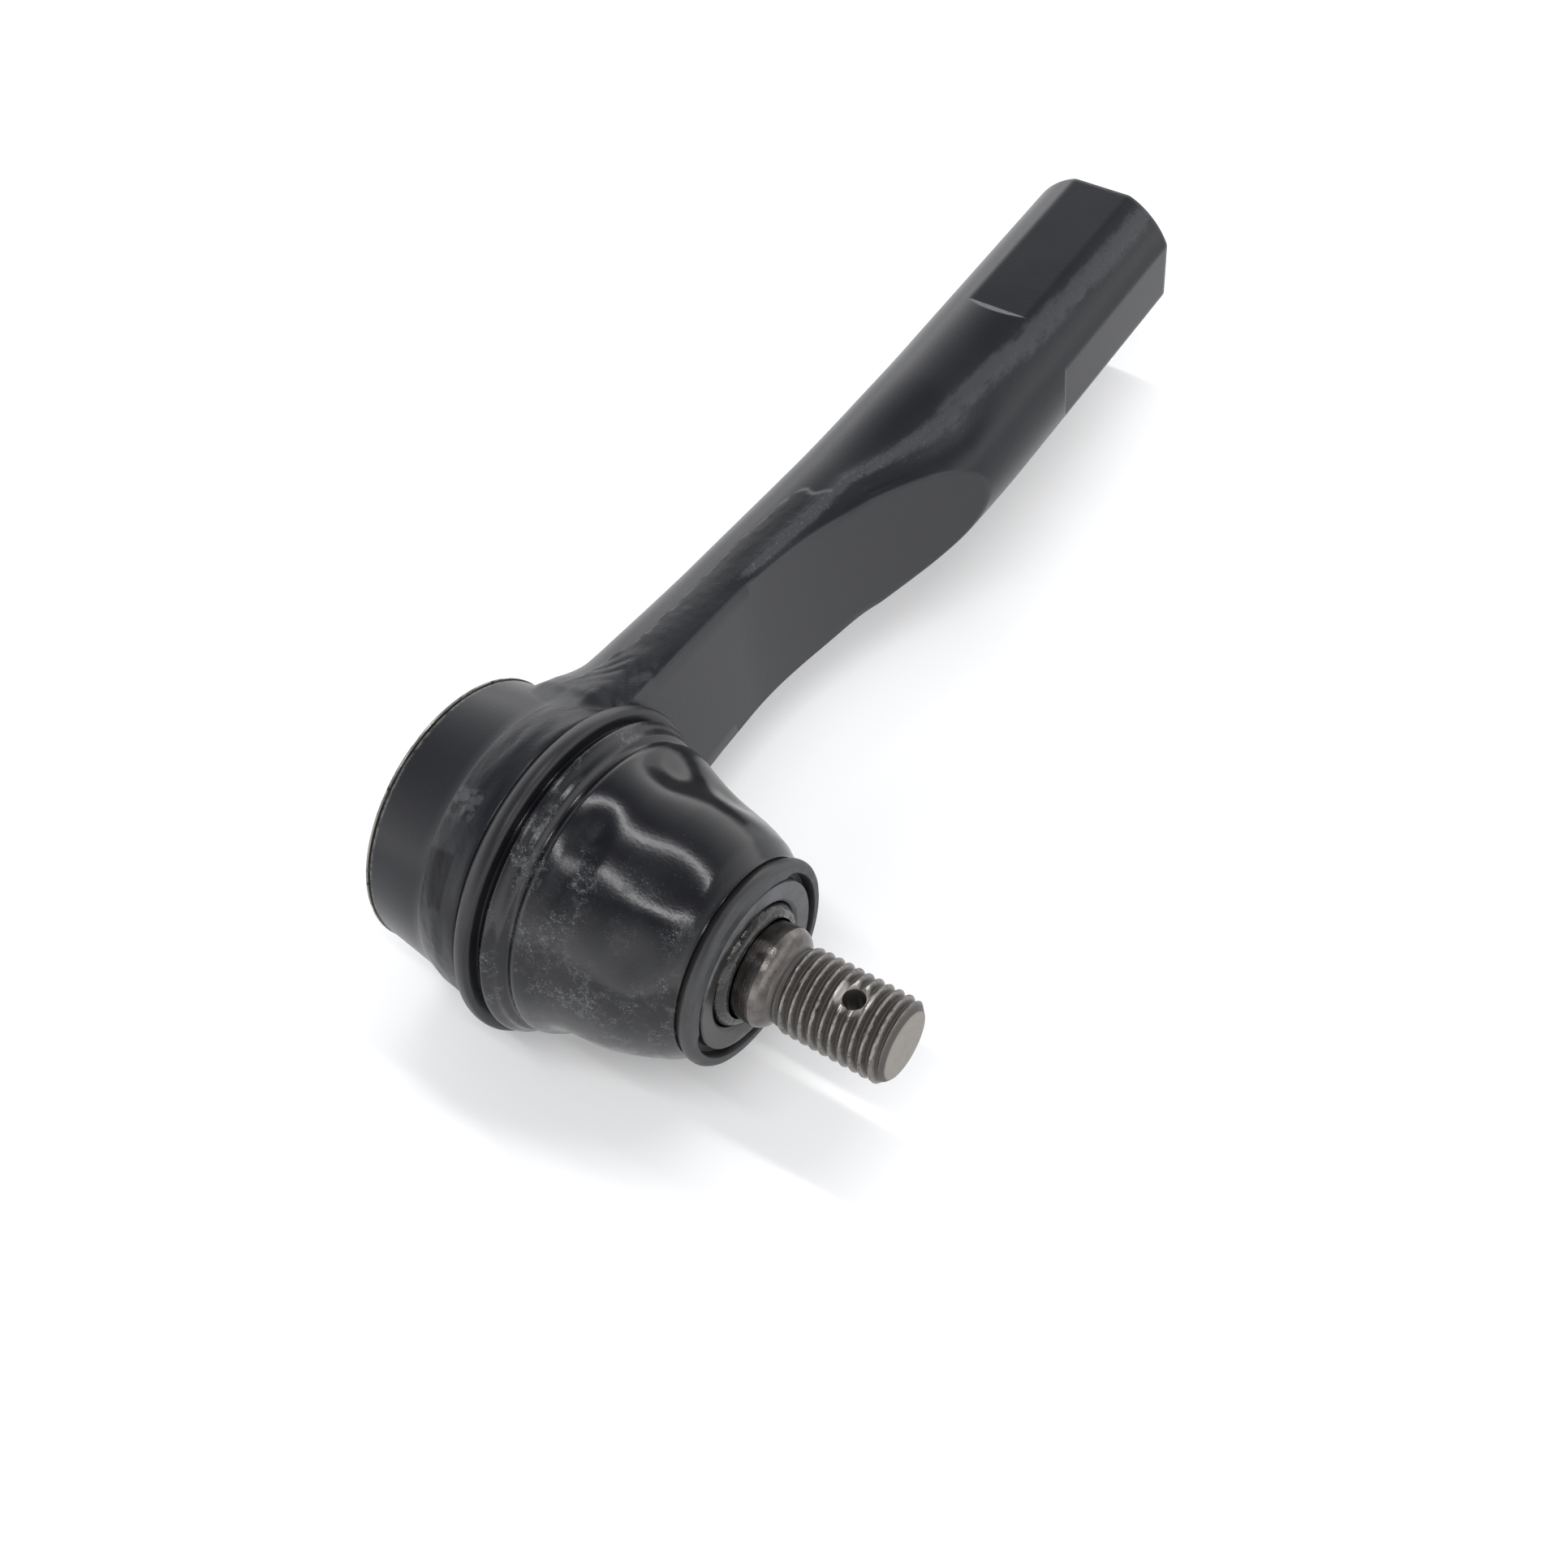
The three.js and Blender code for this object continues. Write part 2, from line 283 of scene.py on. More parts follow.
def forging_paint():
    """Satin black paint: orange peel everywhere, forging skin on the raw band, and bare and
    scraped metal on the rolled rim. The arm's own masks add forging skin on the trimmed flash
    ("skin"), hammered specks in a lighter band that is partly a painted highlight ("ridge"), the
    pressed face painted lighter grey as a painted reflection ("leaf"), and paint rubbed thin where
    the flats start ("edge")."""
    material, feed, place = new_finish("forging_paint", Specular_IOR_Level=0.24)
    x, y, z = place.split()
    cloudy = place.noise(0.11, 3)
    grain = place.noise(1.3, 4, 0.6)
    peel = place.noise(2.6, 2)
    on_barrel = y.step(17.5, 14)
    raw_band = on_barrel * x.step(BAND_START - 0.3, BAND_START + 0.3) * 0.55
    skin = place.node("Attribute", {}, {"attribute_name": "skin"}, output=2)
    ridge = place.node("Attribute", {}, {"attribute_name": "ridge"}, output=2)
    edge = place.node("Attribute", {}, {"attribute_name": "edge"}, output=2)
    leaf = place.node("Attribute", {}, {"attribute_name": "leaf"}, output=2)
    rough_skin = raw_band.larger(skin)
    streaks = place.noise(0.5, 4, 0.6, (1.0, 0.3, 1.0))
    worn_patch = y.step(-9, -7.6) * y.step(-4.6, -5.6) * z.step(0, 5)
    slick_patch = y.step(-16.2, -15.6) * y.step(-11.2, -11.8) * z.step(0, 5)
    inside_band = x.step(-0.6, -1.0) * raw_band
    patches = worn_patch * inside_band * place.noise(0.9, 3, 0.6).step(0.4, 0.55)
    slick = slick_patch * inside_band
    specks = place.grains(2.2).step(0.4, 0.1) * grain.step(0.42, 0.58) * ridge * y.step(82, 60)
    feathers = place.noise(0.7, 5, 0.7, (1.3, 0.5, 1.0))
    # The feathered band and specks along the ridge are painted lighter: partly the parting's
    # hammered skin, partly a painted highlight.
    hammered = (ridge * (feathers * 1.5 + 0.1)).step(0.28, 0.75)
    rim = x.step(-12.86, -12.9) * on_barrel
    turned_edge = x.step(-12.25, -12.5) * on_barrel * place.noise(0.8, 4, 0.7).step(0.4, 0.55)
    radius = (y * y + z * z).power(0.5)
    wear_and_sheen = place.noise(0.5, 3, 0.75)
    bare = rim * wear_and_sheen.step(0.36, 0.46) * radius.step(15.4, 15.9)
    scraped = rim * wear_and_sheen.step(0.5, 0.62) * radius.step(13.8, 14.4) * 0.5
    scuffs = place.noise(2.2, 5, 0.7, (1, 0.25, 1)).step(0.64, 0.76) * cloudy.step(0.42, 0.6)
    rubbed = edge * grain.step(0.2, 0.5)
    paint = cloudy.step(0.3, 0.7).tinted((0.0058, 0.0062, 0.0088), (0.0082, 0.0087, 0.0118))
    paint = (scuffs * 0.3).tinted(paint, (0.05, 0.05, 0.056))
    paint = (patches * 0.85).tinted(paint, (0.075, 0.076, 0.08))
    paint = (slick * 0.9).tinted(paint, (0.006, 0.006, 0.0075))
    # The pressed face is painted lighter grey: a painted reflection of the bright room that it
    # faces.
    paint = (leaf * 0.9).tinted(paint, (0.027, 0.0275, 0.0305))
    # Painted highlight along the ridge, mixed with its hammered skin.
    paint = (hammered * 0.8).tinted(paint, (0.04, 0.041, 0.045))
    paint = (specks * 0.4).tinted(paint, (0.15, 0.15, 0.155))
    paint = (rubbed * 0.85).tinted(paint, (0.1, 0.1, 0.104))
    paint = turned_edge.larger(scraped).tinted(paint, (0.08, 0.08, 0.079))
    paint = bare.tinted(paint, (0.2, 0.193, 0.176))
    gloss = 0.26 + cloudy * 0.08 + rough_skin * streaks.step(0.35, 0.65) * 0.14
    gloss = gloss + scuffs * 0.1 + ridge * 0.14
    height = peel.relief(0.008)
    height = (streaks * rough_skin).relief(0.12, height)
    height = (grain * (rough_skin * 0.7 + ridge * 1.1 + 0.12)).relief(0.05, height)
    feed(Base_Color=paint, Roughness=gloss, Metallic=(bare * 0.9).larger(slick), Normal=height)
    return material


paint = forging_paint()
barrel = skinned("housing_barrel", turned(rounded(BARREL_OUTLINE), BARREL_COLUMNS, barrel_push),
                 ring=True)
barrel.data.materials.append(paint)
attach(barrel, "housing")
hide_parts("housing")


# ------------------------------------------------------------------ the housing: arm and shank
# The arm grows out of the barrel in a soft fillet. A leaf-shaped flat is pressed into its stud
# side, and it ends in a round shank with four milled flats and a tapped bore for the tie rod.
SHANK_RADIUS = 11.05
SHANK_OFFSET = 3.0                    # of the shank's axis from the ball's centre, towards the stud
SHANK_END = 122.5                     # starts and ends are along Y, from the ball's centre
FLATS_START = 93.25
ACROSS_FLATS = 20.5
STEP_SLOPE = 0.55                     # of the little wall where each flat starts
STEP_LENGTH = 3.3
ARM_COLUMNS = 208
EDGE_COLUMN = 36                      # the column that runs along the leaf's edge
EDGE_TURN = math.radians(24)          # least turn of that column from the leaf's middle
LEAF_START, LEAF_END, LEAF_LEVEL = 35.0, 73.5, 2.0
ROOT_START = 14.0                     # where the arm leaves the barrel's wall
ROOT_LEAN = math.radians(24)          # how far the rays lean back there
LONGEST_RAY = 26.0
FILLET = 5.5
FLASH_HEIGHT = 0.35
STROKE_DEPTH = 0.17                   # of the slanted strokes in the flash by the root
FLASH_LINE = [(12.5, -7.1), (15.4, -5.6), (20.5, -5.0), (25.7, -3.4), (35.7, -3.5), (41.5, -3.5),
              (47.9, -2.6), (53.7, -1.6), (60, -0.6)]       # how far along, station
RIDGE_LINE = [(30, 0.0), (36.7, 0.6), (41.4, 1.4), (50.3, 2.5), (57.8, 3.0), (62.9, 4.9),
              (67.8, 6.6), (72.6, 7.6), (80, 7.9), (86.5, 8.5), (90, 9.0), (112, 9.8)]
BORE_THREAD = (5.45, 0.62, 1.25)      # minor radius, thread depth, pitch
BORE_MOUTH = [8.7, 6.75, 6.6]         # radii on the end face and at the countersink
THREAD_ROWS, THREADED_RUN = 120, 20.0
BORE_DEPTH = 38.0


def soft_minimum(a, b, width):
    """The smaller of a and b, with the corner between them rounded over the given width."""
    h = np.clip(0.5 + 0.5 * (b - a) / width, 0, 1)
    return b + (a - b) * h - width * h * (1 - h)


def arm_middle(y):
    """Station of the arm's middle line, which moves over to the shank's axis."""
    return SHANK_OFFSET * eased(y, 20, 85)


def leaf_level(y):
    """Station of the leaf-shaped level: flat by the barrel, then rising as a power of the run."""
    run = np.clip((y - LEAF_START) / (LEAF_END - LEAF_START), 0, 1)
    crest = SHANK_OFFSET + SHANK_RADIUS
    return LEAF_LEVEL + (crest - LEAF_LEVEL) * run ** 1.75 + 4 * eased(y, LEAF_END, 80)


def ridge_line(y):
    """Station of the parting's hammered ridge, from the leaf's edge out along the shank."""
    return np.interp(y, *zip(*RIDGE_LINE))


def flash_line(y):
    """Station of the trimmed flash's edge on the arm's top and underside: nearly straight."""
    return np.interp(y, *zip(*FLASH_LINE)) + 0.18 * ripple(8, (0.35, 0.8, 1.7), y)


def flash_cover(x, y, z):
    """1 on the strip of trimmed flash between its line and the leaf, and 0 off it. The strip ends
    in a ragged slant where the dies' parting runs out."""
    ragged = 0.35 * (x - flash_line(y)) + 0.5 * ripple(11, (1.1, 2.2), x)
    cover = eased(x - flash_line(y), -0.1, 0.1) * (eased(z, 6, 8) + 0.35 * eased(-z, 6, 8))
    cover = cover * (1 - eased(x - ridge_line(y), -0.4, 0.4) * eased(y, 34, 42))
    return cover * (1 - eased(y - ragged, 53.0, 53.8)) * eased(y, 12, 17)


def arm_waist(y, above):
    """How far the bar's side is drawn in between root and shank: 0.8 mm above, 0.1 mm below."""
    return (0.1 + 0.7 * above) * eased(y, 24, 40) * (1 - eased(y, 60, 78))


def arm_field(x, y, z):
    """Height above the arm's surface: a slightly flattened round bar, cut by the leaf-shaped
    level on its stud side and by the wrench flats, with the trimmed flash standing proud. Slanted
    strokes cross the flash by the root, and a ridge and a groove follow the dies' parting."""
    middle = arm_middle(y)
    radius = SHANK_RADIUS + 1.8 * np.exp(-np.maximum(y - 15, 0) / 7)
    waist = arm_waist(y, z > 0)
    bar = np.hypot(x - middle, z * radius / (radius - waist)) - radius
    wrinkles = 0.09 * ripple(9, (1.6, 2.6), y, x * 0.5) * (1 - eased(y, 20, 27))
    zigzag = np.abs(((y * 0.42 + np.abs(x + 1.6) * 0.5) % 1) * 2 - 1)
    strokes = STROKE_DEPTH * eased(zigzag, 0.5, 0.95)
    wrinkles = wrinkles - strokes * eased(y, 12.6, 13.8) * (1 - eased(y, 20, 22))
    pebbles = 0.012 * ripple(10, (2.2, 3.9), y, x)
    bar = bar - flash_cover(x, y, z) * (FLASH_HEIGHT + wrinkles + pebbles)
    ridge = ridge_line(y)
    off_middle = eased(np.abs(z), 4, 7)
    crest = np.exp(-((x - ridge) / 1.1) ** 2) * eased(y, 34, 46) * (1 - eased(y, 84, 93))
    groove = np.exp(-((x - ridge - 2.3) / 1.25) ** 2) * eased(y, 46, 57) * (1 - eased(y, 72, 82))
    bar = bar + (0.5 * groove - 0.3 * crest) * off_middle
    bar = -soft_minimum(-bar, leaf_level(y) - x, 0.22)
    slab = np.maximum(np.abs(x - middle), np.abs(z)) - ACROSS_FLATS / 2
    slab = slab - STEP_SLOPE * np.clip(FLATS_START + 0.2 - y, 0, 5)
    return -soft_minimum(-bar, -slab, 0.1)


def barrel_field(x, y, z):
    """Height above the plain barrel: the distance outside its outline, rim and shoulder."""
    outline = [(TURNED_EDGE, 16.2), (BAND_START - 0.6, 17.35), (BAND_START + 1.2, 17.95),
               (-1.6, 18.3), (BAND_END, 18.5)]
    radius = np.interp(x, *zip(*outline))
    side = np.hypot(y, z) - radius
    return np.maximum(np.maximum(side, TURNED_EDGE - x), x - BAND_END)


def forging_field(x, y, z):
    """The arm and the barrel run together, with a wide fillet on the cap side and a tight one by
    the boot. Where the arm is far above the barrel's wall, it is sunk a little into it."""
    arm = arm_field(x, y, z) + 0.8 * np.maximum(13 - y, 0)
    barrel = barrel_field(x, y, z)
    width = 0.4 + FILLET * eased(x, -12.6, -8.5) * (1 - eased(x, -1.5, 1.5))
    buried = 0.12 * eased(arm - barrel, width, width + 1.5)
    return soft_minimum(arm, barrel, width) + buried


def edge_following(y, angle):
    """Angles of the grid's columns, spread so that one column on each side runs along the leaf's
    edge, where the level cuts the round bar, and no tooth shows on it."""
    level = leaf_level(y) - arm_middle(y)
    waist = arm_waist(y, angle < np.pi)
    height = np.sqrt(np.maximum(SHANK_RADIUS ** 2 - level ** 2, 0)) * (1 - waist / SHANK_RADIUS)
    edge = np.maximum(np.arctan2(height, level), EDGE_TURN)
    follow = 2 * np.pi * EDGE_COLUMN / ARM_COLUMNS
    edge = edge + (follow - edge) * eased(y, 74, 90)
    side = np.where(angle < np.pi, 1, -1)
    half = np.where(angle < np.pi, angle, 2 * np.pi - angle)
    near = half * edge / follow
    far = edge + (half - follow) * (np.pi - edge) / (np.pi - follow)
    return side * np.where(half < follow, near, far)


def arm_grid():
    """Rays from the arm's middle line, stopped where the forging's field is zero. Near the root
    the rays lean back, so that the fillet is followed until it dies out in the barrel."""
    stations = np.concatenate([
        np.linspace(ROOT_START, 34, 76),
        np.linspace(34.3, FLATS_START - STEP_LENGTH, 146),
        FLATS_START + np.linspace(0.1 - STEP_LENGTH, 0.35, 36),
        np.linspace(93.8, SHANK_END - 1.1, 46),
    ])
    angle = np.linspace(0, 2 * np.pi, ARM_COLUMNS, endpoint=False)
    y0, angle = np.meshgrid(stations, angle, indexing="ij")
    angle = edge_following(y0, angle)
    lean = ROOT_LEAN * (1 - eased(y0, ROOT_START, 27))
    step = np.stack([np.cos(angle) * np.cos(lean), -np.sin(lean), np.sin(angle) * np.cos(lean)])
    start = np.stack([arm_middle(y0), y0, np.zeros_like(y0)])
    near, far = np.full(y0.shape, 0.5), np.full(y0.shape, LONGEST_RAY)
    for _ in range(27):
        half = (near + far) / 2
        outside = forging_field(*(start + step * half)) > 0
        near, far = np.where(outside, near, half), np.where(outside, half, far)
    return np.moveaxis(start + step * near, 0, -1)


def bore_rows(columns):
    """Rows from the shank's chamfered end into the bore: the end face, a countersink, then the
    thread, whose radius follows a rounded triangle wave that climbs one pitch a turn."""
    minor, depth, pitch = BORE_THREAD
    angle = np.linspace(0, 2 * np.pi, columns, endpoint=False)
    deep = np.linspace(1.0, THREADED_RUN, THREAD_ROWS)
    stations = SHANK_END - np.concatenate([[0, 0, 0.1], deep, [THREADED_RUN + 1, BORE_DEPTH]])
    radius = np.concatenate([BORE_MOUTH, np.full(THREAD_ROWS + 2, minor)])
    y = np.repeat(stations[:, None], columns, 1)
    wave = np.abs(((y / pitch - angle / (2 * np.pi)) % 1) * 2 - 1)
    cut = depth * np.clip(wave * 1.35 - 0.12, 0, 1)
    cut = cut * (y < SHANK_END - 0.5) * (y > SHANK_END - THREADED_RUN - 0.5)
    r = radius[:, None] + cut
    return np.stack([SHANK_OFFSET + r * np.cos(angle), y, r * np.sin(angle)], axis=-1)


def chamfer_row(last, inset, y):
    """The shank's last ring, drawn in towards its axis and moved on to station y."""
    middle = np.array([SHANK_OFFSET, 0, 0])
    ring = last - middle
    reach = np.hypot(ring[:, 0], ring[:, 2])[:, None]
    ring = ring * (1 - inset / reach) + middle
    ring[:, 1] = y
    return ring


def root_rows(ring):
    """Closes the arm's root inside the barrel's wall, clear of the socket."""
    pole = np.array([0, ROOT_START, 0])
    rows = []
    for share in (0.0, 0.25, 0.5, 0.75):
        row = pole + (ring - pole) * share
        row[:, 1:] *= np.maximum(14 / np.hypot(row[:, 1], row[:, 2]), 1)[:, None]
        rows.append(row)
    return np.array(rows)


grid = arm_grid()
end = np.array([
    chamfer_row(grid[-1], inset, SHANK_END - drop)
    for inset, drop in ((0.06, 1.0), (0.9, 0.12), (1.05, 0.02))
])
inside = bore_rows(ARM_COLUMNS)
floor_row = inside[-1:] * 0 + np.array([SHANK_OFFSET, SHANK_END - BORE_DEPTH - 3, 0])
rows = np.concatenate([root_rows(grid[0]), grid, end, inside, floor_row])
arm = skinned("housing_arm", rows)
x, y, z = np.moveaxis(rows, -1, 0)
outside = (np.hypot(x - arm_middle(y), z) > 9.7) & (y > 14)
outside_leaf = (y > 14) & (y < 74)
beside_leaf = leaf_level(y) - x
cover = flash_cover(x, y, z)
wrinkled = 1 - eased(np.abs(y - 18), 3, 7)
band_width = np.interp(y, [30, 60, 75, 110], [0.6, 1.0, 1.8, 1.5])
band = np.exp(-((x - ridge_line(y)) / band_width) ** 2)
on_step = np.abs(y - FLATS_START + STEP_LENGTH / 2) < STEP_LENGTH / 2 + 0.1
milled = np.hypot(x - arm_middle(y), z) < SHANK_RADIUS - 0.08
arm_masks = {
    "skin": outside * cover * eased(beside_leaf, 0.05, 0.25) * (0.6 + 0.4 * wrinkled),
    # ridge: the band painted lighter, partly forging skin and partly a painted highlight.
    "ridge": outside * band * eased(beside_leaf, 0.05, 0.3) * eased(y, 34, 42),
    # leaf: the pressed face, painted lighter as a painted reflection.
    "leaf": outside_leaf * (1 - eased(np.abs(beside_leaf), 0.05, 0.3)),
    "edge": outside * on_step * milled,
}
for mask_name, mask in arm_masks.items():
    attribute = arm.data.attributes.new(mask_name, "FLOAT", "POINT")
    values = np.append(mask[1:-1].reshape(-1), [0, 0]).astype(np.float32)
    attribute.data.foreach_set("value", values)
arm.data.materials.append(paint)
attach(arm, "housing")
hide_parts("housing")


# ------------------------------------------------------------------ inside the socket
# Two acetal seats hold the ball, a cone washer presses them together, and a steel cap closes the
# socket under the rolled rim. They are turned or pressed, plain pieces, and so is the spring ring
# that is moulded into the boot's neck.
def plain_finish(name, colour, roughness, metallic, grain):
    """An even colour with faint clouds of a shade darker, and a fine grain in its surface."""
    material, feed, place = new_finish(name, Metallic=metallic)
    cloudy = place.noise(0.3, 3)
    darker = tuple(0.8 * c for c in colour)
    feed(Base_Color=cloudy.step(0.3, 0.7).tinted(darker, colour),
         Roughness=cloudy * 0.15 + (roughness - 0.07), Normal=place.noise(grain, 3).relief(0.01))
    return material


finishes = {
    "ball_seat_cap_side": plain_finish("acetal_cup", (0.8, 0.78, 0.71), 0.45, 0, 2.0),
    "ball_seat_stud_side": plain_finish("acetal_ring", (0.8, 0.78, 0.71), 0.45, 0, 2.0),
    "preload_spring": plain_finish("washer_steel", (0.3, 0.3, 0.32), 0.35, 1, 3.0),
    "boot_neck_clip": plain_finish("clip_steel", (0.35, 0.35, 0.36), 0.3, 1, 3.0),
}
for node, finish in finishes.items():
    solid = frame["nodes"][node]
    solid.data.materials.clear()
    solid.data.materials.append(finish)

CAP_OUTLINE = [(-10.4, 0.001, 0), (-10.4, 13.3, 0.2), (-12.6, 13.3, 0.2), (-12.6, 11.3, 0.5),
               (-12.0, 10.3, 0.5), (-12.0, 6.4, 0.5), (-12.6, 4.2, 0.8), (-12.6, 0.001, 0)]
CAP_COLUMNS = 160
cap = skinned("closing_cap", turned(rounded(CAP_OUTLINE), CAP_COLUMNS))
cap.data.materials.append(paint)
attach(cap, "housing")
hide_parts("end_cap")


# ------------------------------------------------------------------ the ball stud
# One piece of heat-treated steel: a polished ball on a neck, a ground taper, a rolled thread and
# a cross hole for the split pin, left in its oily grey-brown finish from the furnace.
BALL_RADIUS = 9.0
STUD_THREAD = (5.0, 0.72, 1.25)       # major radius, depth, pitch
THREAD_START, THREAD_END = 33.1, 46.9
CHAMFER_START, CHAMFER_RUN = 46.05, 0.95
NECK_RADIUS = 4.5
PIN_STATION, PIN_RADIUS = 41.0, 1.3
STUD_COLUMNS = 144
STUD_CREASE = 40
RUNOUT = 32.5                         # the groove that the thread runs out into


def stud_outline():
    """The ball as an arc, then the neck, the 1:8 taper, its shoulder, the thread and the tip."""
    turn = np.linspace(0.002, math.pi - math.asin(NECK_RADIUS / BALL_RADIUS), 60)
    ball = np.stack([-BALL_RADIUS * np.cos(turn), BALL_RADIUS * np.sin(turn)], -1)
    shank = rounded([
        (ball[-1, 0] + 0.1, NECK_RADIUS, 0), (12.0, NECK_RADIUS, 1.2), (16.5, 5.0, 1.0),
        (31.0, 5.92, 0.12), (31.7, 5.62, 0.35), (32.45, 4.55, 0.35), (33.0, 4.32, 0.2),
    ], 0.4)
    major, depth, _ = STUD_THREAD
    x = np.linspace(THREAD_START, THREAD_END, 236)
    chamfer = np.clip((x - CHAMFER_START) / CHAMFER_RUN, 0, 1) * 1.1
    thread = np.stack([x, np.minimum(major - depth, major - chamfer)], -1)
    tip = rounded([(46.93, 3.9, 0), (47.0, 3.7, 0.05), (46.97, 2.6, 0.2), (46.93, 0.001, 0)], 0.5)
    return np.vstack([ball, shank, thread, tip])


def stud_push(x, r, angle):
    """The rolled thread: a flat-topped wave that climbs one pitch a turn, less at its two ends,
    with small dents in its crests; and the tip's chamfer, which cuts across it."""
    major, depth, pitch = STUD_THREAD
    wave = np.abs(((x / pitch - angle / (2 * np.pi)) % 1) * 2 - 1)
    lift = eased(wave, 0.02, 0.95) * depth
    lift -= 0.07 * eased(ripple(21, (5, 11), angle, x * 1.5), 0.5, 0.9) * (wave > 0.7)
    run = eased(x, THREAD_START - 0.4, THREAD_START + 0.9) * (x < THREAD_END + 0.02) * (x > RUNOUT)
    limit = major - np.clip((x - CHAMFER_START) / CHAMFER_RUN, 0, 1) * 1.15
    return np.minimum(r + lift * run, np.where(x > RUNOUT, np.maximum(limit, r), 99)) - r


def pin_cutter():
    """A bar along Z for the split pin's hole, flared where it leaves the thread at each end."""
    angle = np.linspace(0, 2 * np.pi, 48, endpoint=False)
    height = np.array([-7, -5.6, -4.35, 4.35, 5.6, 7])
    radius = np.array([3.4, 2.15, PIN_RADIUS, PIN_RADIUS, 2.15, 3.4])
    height = np.concatenate([height[:1], height, height[-1:]])[:, None] + 0 * angle
    radius = np.concatenate([[0.01], radius, [0.01]])[:, None]
    return np.stack([PIN_STATION + radius * np.cos(angle), radius * np.sin(angle), height], -1)


def stud_steel():
    """Dull brown-grey steel: fine turning lines round the taper; thread roots painted darker,
    partly oil and soot and partly painted shade; crests painted lighter, partly worn metal and
    partly a painted highlight; brighter metal on the tip's face and round the pin's hole."""
    material, feed, place = new_finish("stud_steel")
    x, y, z = place.split()
    radius = (y * y + z * z).power(0.5)
    cloudy = place.noise(0.55, 3, 0.6)
    fine = place.noise(2.6, 4, 0.65)
    lines = place.noise(1.0, 3, 0.6, (9.0, 0.12, 0.12))
    on_thread = x.step(32.3, 32.8)
    crest = radius.step(4.35, 4.9) * on_thread
    wear_and_sheen = crest * fine.step(0.36, 0.52)
    face = x.step(46.88, 46.95)
    hole = ((x - PIN_STATION) * (x - PIN_STATION) + y * y).power(0.5)
    lip = hole.step(2.3, 1.9) * z.size().step(4.0, 4.4) * on_thread
    taper = x.step(26.5, 27.5) * x.step(32.3, 31.6)
    polished = x.step(9.5, 8.5)
    steel = cloudy.step(0.25, 0.75).tinted((0.075, 0.068, 0.065), (0.14, 0.13, 0.124))
    # Thread roots painted darker: oil and soot, and painted shade between the crests.
    steel = (on_thread * (1 - crest)).tinted(steel, (0.062, 0.057, 0.053))
    # Crests painted lighter: worn metal, and a painted highlight along them.
    steel = (wear_and_sheen * 0.5).tinted(steel, (0.27, 0.255, 0.235))
    steel = (taper * lines.step(0.5, 0.66) * 0.35).tinted(steel, (0.2, 0.186, 0.172))
    steel = (face * (fine * 0.5 + 0.55)).tinted(steel, (0.27, 0.255, 0.235))
    steel = (lip * 0.8).tinted(steel, (0.5, 0.48, 0.45))
    steel = polished.tinted(steel, (0.55, 0.55, 0.56))
    gloss = 0.2 + cloudy * 0.2 + on_thread * (1 - crest) * 0.25
    gloss = gloss - polished * 0.15 + face * 0.12 - taper * 0.06
    height = lines.relief(0.02)
    height = (fine * (1 - polished)).relief(0.03, height)
    feed(Base_Color=steel, Roughness=gloss, Metallic=1 - on_thread * (1 - crest) * 0.55,
         Normal=height)
    return material


stud = skinned("stud_body", turned(stud_outline(), STUD_COLUMNS, stud_push), crease=STUD_CREASE)
cutter = skinned("pin_cutter", pin_cutter())
drill = stud.modifiers.new("pin_hole", "BOOLEAN")
drill.operation = "DIFFERENCE"
drill.solver = "EXACT"
drill.object = cutter
drilled = stud.evaluated_get(bpy.context.evaluated_depsgraph_get())
drilled = bpy.data.meshes.new_from_object(drilled)
stud.modifiers.clear()
stud.data = drilled
bpy.data.objects.remove(cutter)
drilled.shade_smooth()
drilled.set_sharp_from_angle(angle=math.radians(STUD_CREASE))
drilled.materials.clear()
drilled.materials.append(stud_steel())
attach(stud, "stud")
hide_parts("ball_stud")


# ------------------------------------------------------------------ the boot's big end
# The dust boot is glossy black rubber. Its thick big end is a rounded ring that is stretched over
# the turned seat and pushed up against the barrel's raw band.
RING_OUTLINE = [(1.74, 16.5, 0.2), (1.74, 18.75, 0.4), (2.55, 19.75, 0.6), (3.4, 20.0, 0.5),
                (4.1, 19.95, 0.3), (4.4, 19.45, 0.15), (4.5, 18.4, 0.1), (4.5, 16.5, 0.2)]
RING_COLUMNS = 320
WIPED_PLACE = (19.5, -9.5, 11)        # middle of the patch that was wiped clean


